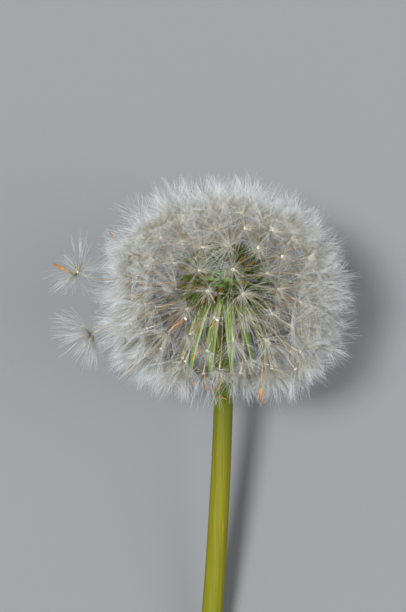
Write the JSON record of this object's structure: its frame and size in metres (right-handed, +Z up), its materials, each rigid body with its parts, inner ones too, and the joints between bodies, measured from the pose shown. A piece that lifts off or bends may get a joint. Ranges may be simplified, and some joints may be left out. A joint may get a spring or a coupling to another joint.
{
  "type": "dandelion seed head",
  "caption": "Dandelion seed head on a cut hollow stem, lying down: a globe of parachute seeds set on a domed receptacle above hanging green bracts.",
  "frame": {"origin": "on the surface that the piece lies on, under the middle of its bounding box", "axes": "+Z up from the surface, the stem runs towards -Y and the top of the head points towards +Y"},
  "size_m": [0.0595, 0.0963, 0.0465],
  "materials": {
    "stem": "smooth olive yellow-green plant skin, faintly streaked along its length, half matte",
    "bract": "thin green leaf, paler along its edges, half matte",
    "seed": "silvery white hairs on a cream hub, with a pale tan beak and an olive to ochre achene"
  },
  "bodies": {
    "root": {"stem": "stem", "inner_bract_01": "bract", "inner_bract_02": "bract", "inner_bract_03": "bract", "inner_bract_04": "bract", "inner_bract_05": "bract", "inner_bract_06": "bract", "inner_bract_07": "bract", "inner_bract_08": "bract", "inner_bract_09": "bract", "inner_bract_10": "bract", "inner_bract_11": "bract", "inner_bract_12": "bract", "inner_bract_13": "bract", "outer_bracts": "bract", "seed_01": "seed", "seed_02": "seed", "seed_03": "seed", "seed_04": "seed", "seed_05": "seed", "seed_06": "seed", "seed_07": "seed", "seed_08": "seed", "seed_09": "seed", "seed_10": "seed", "seed_11": "seed", "seed_12": "seed", "seed_13": "seed", "seed_14": "seed", "seed_15": "seed", "seed_16": "seed", "seed_17": "seed", "seed_18": "seed", "seed_19": "seed", "seed_20": "seed", "seed_21": "seed", "seed_22": "seed", "seed_23": "seed", "seed_24": "seed", "seed_25": "seed", "seed_26": "seed", "seed_27": "seed", "seed_28": "seed", "seed_29": "seed", "seed_30": "seed", "seed_31": "seed", "seed_32": "seed", "seed_33": "seed", "seed_34": "seed", "seed_35": "seed", "seed_36": "seed", "seed_37": "seed", "seed_38": "seed", "seed_39": "seed", "seed_40": "seed", "seed_41": "seed", "seed_42": "seed", "seed_43": "seed", "slipped_seed_1": "seed", "slipped_seed_2": "seed"}
  },
  "joints": []
}
